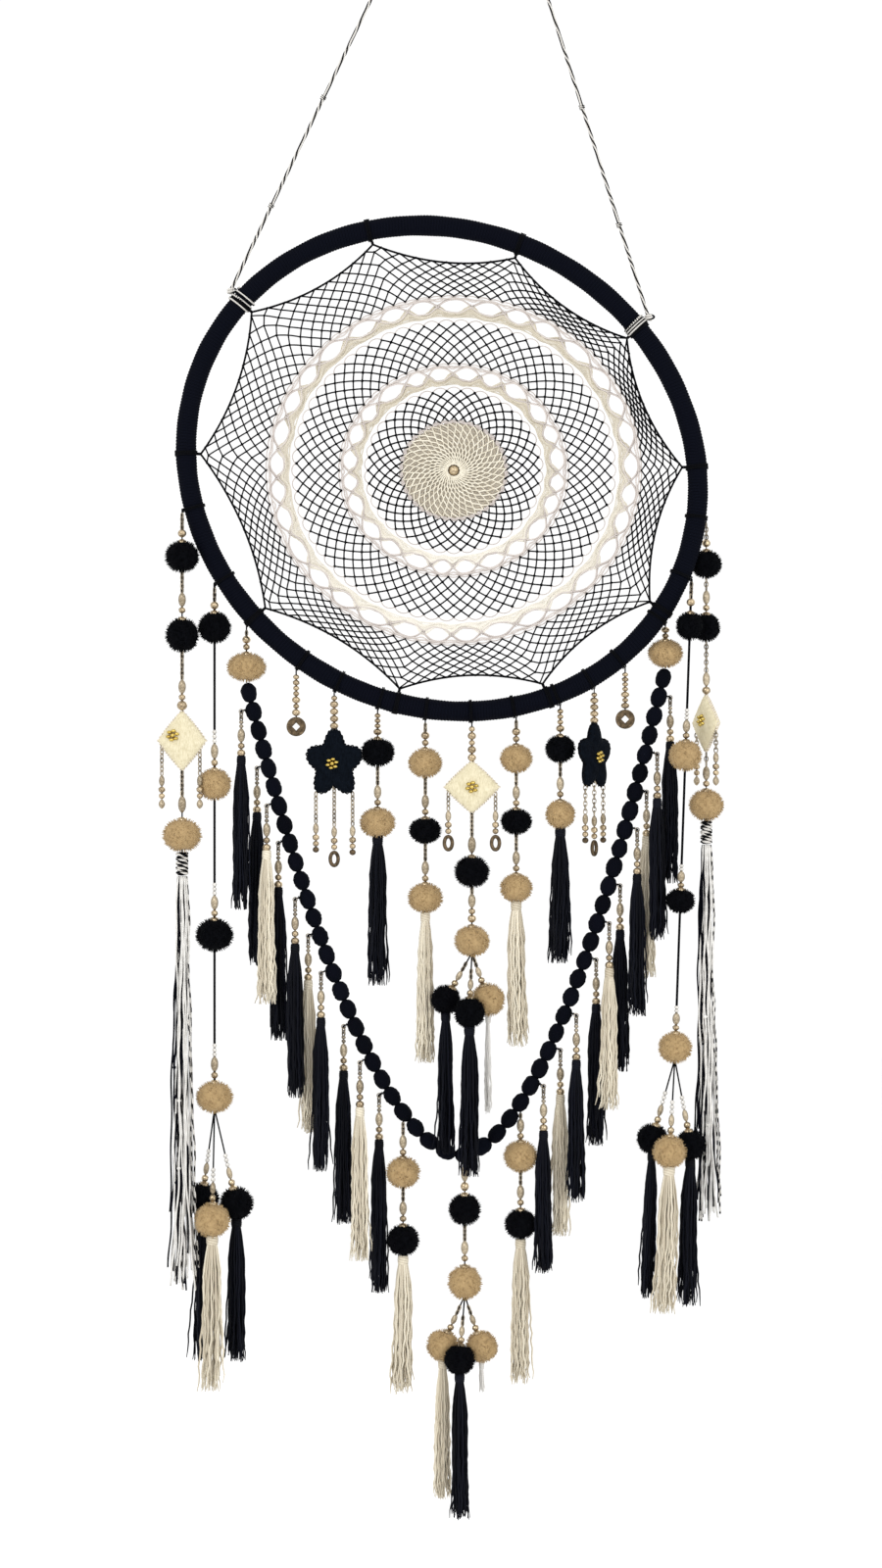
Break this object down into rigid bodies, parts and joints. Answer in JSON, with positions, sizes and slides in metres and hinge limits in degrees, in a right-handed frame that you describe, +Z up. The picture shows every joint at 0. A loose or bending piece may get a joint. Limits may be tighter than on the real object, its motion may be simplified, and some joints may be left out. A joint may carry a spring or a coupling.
{
  "type": "dream catcher",
  "caption": "Hanging dream catcher: wrapped oval hoop with a lace and net web, beaded strings with pompoms, felt charms and tassels, and a beaded swag hung with tassels.",
  "frame": {"origin": "midway between the middles of the two hanging rings, which go over two level hooks", "axes": "+Z up, +Y to the back, so the front faces -Y; +X to the viewer's right"},
  "size_m": [0.4308, 0.0591, 1.189],
  "materials": {
    "black_yarn": "black cotton yarn wound tightly, matt, with fine ridges across the tube",
    "black_thread": "black waxed cotton thread, slightly shiny",
    "black_cloth": "black cotton cloth gathered over wooden beads",
    "black_tassel": "black cotton tassel threads",
    "cream_cotton": "cream cotton lace thread, matt",
    "cream_tassel": "cream cotton tassel threads",
    "tan_wool": "tan wool pompom pile",
    "ivory_felt": "ivory felt, stuffed",
    "black_felt": "black felt, stuffed",
    "striped_cord": "black and white cotton cord, twisted",
    "steel": "plain steel wire",
    "wood": "bent rattan, hidden inside the wrapping",
    "gold_bead": "brushed gold-coloured metal beads",
    "pale_bead": "pale beige glass seed beads and rice beads with a soft shine",
    "bronze": "antique bronze coin, worn"
  },
  "bodies": {
    "hooks": {"hanging_ring_left": "steel", "hanging_ring_right": "steel"},
    "hoop": {"hanging_knot_left": "striped_cord", "hanging_knot_right": "striped_cord", "hanging_cord_left": "striped_cord", "hanging_cord_right": "striped_cord", "hoop_core": "wood", "hoop_wrap": "black_yarn", "lashing_left": "striped_cord", "lashing_right": "striped_cord", "web_bead": "gold_bead", "web_mandala": "cream_cotton", "web_inner_net": "black_thread", "web_inner_lace": "cream_cotton", "web_middle_net": "black_thread", "web_outer_lace": "cream_cotton", "web_outer_net": "black_thread"},
    "string_01": {"string_01": "ivory_felt", "yarn_tassel_left": "striped_cord"},
    "string_02": {"string_02": "pale_bead"},
    "string_04": {"string_04": "bronze"},
    "string_05": {"string_05": "black_felt"},
    "string_06": {"string_06": "tan_wool"},
    "string_07": {"string_07": "tan_wool"},
    "string_08": {"string_08": "ivory_felt"},
    "string_09": {"string_09": "tan_wool"},
    "string_10": {"string_10": "tan_wool"},
    "string_11": {"string_11": "black_felt"},
    "string_12": {"string_12": "bronze"},
    "string_14": {"string_14": "pale_bead"},
    "string_15": {"string_15": "ivory_felt", "yarn_tassel_right": "striped_cord"},
    "swag": {"string_03": "tan_wool", "string_13": "tan_wool", "swag": "black_cloth"},
    "swag_tassel_left_01": {"swag_tassel_left_01": "black_tassel"},
    "swag_tassel_left_02": {"swag_tassel_left_02": "black_tassel"},
    "swag_tassel_left_03": {"swag_tassel_left_03": "cream_tassel"},
    "swag_tassel_left_04": {"swag_tassel_left_04": "black_tassel"},
    "swag_tassel_left_05": {"swag_tassel_left_05": "black_tassel"},
    "swag_tassel_left_06": {"swag_tassel_left_06": "cream_tassel"},
    "swag_tassel_left_07": {"swag_tassel_left_07": "black_tassel"},
    "swag_tassel_left_08": {"swag_tassel_left_08": "black_tassel"},
    "swag_tassel_left_09": {"swag_tassel_left_09": "cream_tassel"},
    "swag_tassel_left_10": {"swag_tassel_left_10": "black_tassel"},
    "swag_tassel_right_01": {"swag_tassel_right_01": "black_tassel"},
    "swag_tassel_right_02": {"swag_tassel_right_02": "black_tassel"},
    "swag_tassel_right_03": {"swag_tassel_right_03": "cream_tassel"},
    "swag_tassel_right_04": {"swag_tassel_right_04": "black_tassel"},
    "swag_tassel_right_05": {"swag_tassel_right_05": "black_tassel"},
    "swag_tassel_right_06": {"swag_tassel_right_06": "cream_tassel"},
    "swag_tassel_right_07": {"swag_tassel_right_07": "black_tassel"},
    "swag_tassel_right_08": {"swag_tassel_right_08": "black_tassel"},
    "swag_tassel_right_09": {"swag_tassel_right_09": "cream_tassel"},
    "swag_tassel_right_10": {"swag_tassel_right_10": "black_tassel"},
    "swag_string_left": {"swag_string_left": "tan_wool"},
    "swag_string_middle": {"swag_string_middle": "tan_wool"},
    "swag_string_right": {"swag_string_right": "tan_wool"}
  },
  "joints": [
    {"name": "hoop_swing", "type": "hinge", "parent": "hooks", "child": "hoop", "pos_m": [0, 0, -0.007], "axis": [1, 0, 0], "range_deg": [-12, 12]},
    {"name": "string_01_swing", "type": "hinge", "parent": "hoop", "child": "string_01", "pos_m": [-0.21225, -0.0095, -0.4094], "axis": [1, 0, 0], "range_deg": [-20, 0]},
    {"name": "string_02_swing", "type": "hinge", "parent": "hoop", "child": "string_02", "pos_m": [-0.18802, -0.001, -0.46591], "axis": [1, 0, 0], "range_deg": [0, 20]},
    {"name": "string_04_swing", "type": "hinge", "parent": "hoop", "child": "string_04", "pos_m": [-0.12557, 0, -0.53157], "axis": [1, 0, 0], "range_deg": [-20, 20]},
    {"name": "string_05_swing", "type": "hinge", "parent": "hoop", "child": "string_05", "pos_m": [-0.09625, -0.008, -0.54891], "axis": [1, 0, 0], "range_deg": [-20, 0]},
    {"name": "string_06_swing", "type": "hinge", "parent": "hoop", "child": "string_06", "pos_m": [-0.06334, 0.005, -0.56214], "axis": [1, 0, 0], "range_deg": [0, 20]},
    {"name": "string_07_swing", "type": "hinge", "parent": "hoop", "child": "string_07", "pos_m": [-0.02678, 0.007, -0.57036], "axis": [1, 0, 0], "range_deg": [0, 20]},
    {"name": "string_08_swing", "type": "hinge", "parent": "hoop", "child": "string_08", "pos_m": [0.00883, -0.009, -0.57232], "axis": [1, 0, 0], "range_deg": [-20, 0]},
    {"name": "string_09_swing", "type": "hinge", "parent": "hoop", "child": "string_09", "pos_m": [0.04281, 0, -0.56855], "axis": [1, 0, 0], "range_deg": [-20, 20]},
    {"name": "string_10_swing", "type": "hinge", "parent": "hoop", "child": "string_10", "pos_m": [0.07653, 0, -0.55878], "axis": [1, 0, 0], "range_deg": [-20, 20]},
    {"name": "string_11_swing", "type": "hinge", "parent": "hoop", "child": "string_11", "pos_m": [0.10252, 0, -0.54628], "axis": [1, 0, 0], "range_deg": [-20, 12]},
    {"name": "string_12_swing", "type": "hinge", "parent": "hoop", "child": "string_12", "pos_m": [0.1262, 0, -0.52993], "axis": [1, 0, 0], "range_deg": [-20, 20]},
    {"name": "string_14_swing", "type": "hinge", "parent": "hoop", "child": "string_14", "pos_m": [0.17657, -0.007, -0.46285], "axis": [1, 0, 0], "range_deg": [-20, 0]},
    {"name": "string_15_swing", "type": "hinge", "parent": "hoop", "child": "string_15", "pos_m": [0.18892, 0.01, -0.41671], "axis": [1, 0, 0], "range_deg": [0, 20]},
    {"name": "swag_swing", "type": "hinge", "parent": "hoop", "child": "swag", "pos_m": [-0.00326, 0.0085, -0.49726], "axis": [1, 0, 0], "range_deg": [0, 20]},
    {"name": "swag_tassel_left_01_swing", "type": "hinge", "parent": "swag", "child": "swag_tassel_left_01", "pos_m": [-0.16772, 0.0021, -0.56396], "axis": [1, 0, 0], "range_deg": [-15, 0]},
    {"name": "swag_tassel_left_02_swing", "type": "hinge", "parent": "swag", "child": "swag_tassel_left_02", "pos_m": [-0.15627, 0.0149, -0.60742], "axis": [1, 0, 0], "range_deg": [0, 15]},
    {"name": "swag_tassel_left_03_swing", "type": "hinge", "parent": "swag", "child": "swag_tassel_left_03", "pos_m": [-0.14825, 0.0021, -0.63629], "axis": [1, 0, 0], "range_deg": [-15, 0]},
    {"name": "swag_tassel_left_04_swing", "type": "hinge", "parent": "swag", "child": "swag_tassel_left_04", "pos_m": [-0.13987, 0.0149, -0.66505], "axis": [1, 0, 0], "range_deg": [0, 15]},
    {"name": "swag_tassel_left_05_swing", "type": "hinge", "parent": "swag", "child": "swag_tassel_left_05", "pos_m": [-0.12648, 0.0021, -0.70794], "axis": [1, 0, 0], "range_deg": [-15, 0]},
    {"name": "swag_tassel_left_06_swing", "type": "hinge", "parent": "swag", "child": "swag_tassel_left_06", "pos_m": [-0.11689, 0.0149, -0.73632], "axis": [1, 0, 0], "range_deg": [0, 15]},
    {"name": "swag_tassel_left_07_swing", "type": "hinge", "parent": "swag", "child": "swag_tassel_left_07", "pos_m": [-0.10664, 0.0021, -0.76445], "axis": [1, 0, 0], "range_deg": [-15, 0]},
    {"name": "swag_tassel_left_08_swing", "type": "hinge", "parent": "swag", "child": "swag_tassel_left_08", "pos_m": [-0.08965, 0.0149, -0.806], "axis": [1, 0, 0], "range_deg": [0, 15]},
    {"name": "swag_tassel_left_09_swing", "type": "hinge", "parent": "swag", "child": "swag_tassel_left_09", "pos_m": [-0.07684, 0.0021, -0.83301], "axis": [1, 0, 0], "range_deg": [-15, 0]},
    {"name": "swag_tassel_left_10_swing", "type": "hinge", "parent": "swag", "child": "swag_tassel_left_10", "pos_m": [-0.06233, 0.0149, -0.85903], "axis": [1, 0, 0], "range_deg": [0, 15]},
    {"name": "swag_tassel_right_01_swing", "type": "hinge", "parent": "swag", "child": "swag_tassel_right_01", "pos_m": [0.16152, 0.0149, -0.55303], "axis": [1, 0, 0], "range_deg": [0, 15]},
    {"name": "swag_tassel_right_02_swing", "type": "hinge", "parent": "swag", "child": "swag_tassel_right_02", "pos_m": [0.15082, 0.0021, -0.59669], "axis": [1, 0, 0], "range_deg": [-15, 0]},
    {"name": "swag_tassel_right_03_swing", "type": "hinge", "parent": "swag", "child": "swag_tassel_right_03", "pos_m": [0.14333, 0.0149, -0.62569], "axis": [1, 0, 0], "range_deg": [0, 15]},
    {"name": "swag_tassel_right_04_swing", "type": "hinge", "parent": "swag", "child": "swag_tassel_right_04", "pos_m": [0.1355, 0.0021, -0.65462], "axis": [1, 0, 0], "range_deg": [-15, 0]},
    {"name": "swag_tassel_right_05_swing", "type": "hinge", "parent": "swag", "child": "swag_tassel_right_05", "pos_m": [0.12302, 0.0149, -0.69778], "axis": [1, 0, 0], "range_deg": [0, 15]},
    {"name": "swag_tassel_right_06_swing", "type": "hinge", "parent": "swag", "child": "swag_tassel_right_06", "pos_m": [0.1141, 0.0021, -0.72638], "axis": [1, 0, 0], "range_deg": [-15, 0]},
    {"name": "swag_tassel_right_07_swing", "type": "hinge", "parent": "swag", "child": "swag_tassel_right_07", "pos_m": [0.10459, 0.0149, -0.75478], "axis": [1, 0, 0], "range_deg": [0, 15]},
    {"name": "swag_tassel_right_08_swing", "type": "hinge", "parent": "swag", "child": "swag_tassel_right_08", "pos_m": [0.08886, 0.0021, -0.79684], "axis": [1, 0, 0], "range_deg": [-15, 0]},
    {"name": "swag_tassel_right_09_swing", "type": "hinge", "parent": "swag", "child": "swag_tassel_right_09", "pos_m": [0.07707, 0.0149, -0.82433], "axis": [1, 0, 0], "range_deg": [0, 15]},
    {"name": "swag_tassel_right_10_swing", "type": "hinge", "parent": "swag", "child": "swag_tassel_right_10", "pos_m": [0.06376, 0.0021, -0.85105], "axis": [1, 0, 0], "range_deg": [-15, 0]},
    {"name": "swag_string_left_swing", "type": "hinge", "parent": "swag", "child": "swag_string_left", "pos_m": [-0.04386, 0.0085, -0.87861], "axis": [1, 0, 0], "range_deg": [-20, 0]},
    {"name": "swag_string_middle_swing", "type": "hinge", "parent": "swag", "child": "swag_string_middle", "pos_m": [0.00346, 0.0085, -0.911], "axis": [1, 0, 0], "range_deg": [-20, 20]},
    {"name": "swag_string_right_swing", "type": "hinge", "parent": "swag", "child": "swag_string_right", "pos_m": [0.0463, 0.0085, -0.87113], "axis": [1, 0, 0], "range_deg": [0, 20]}
  ]
}
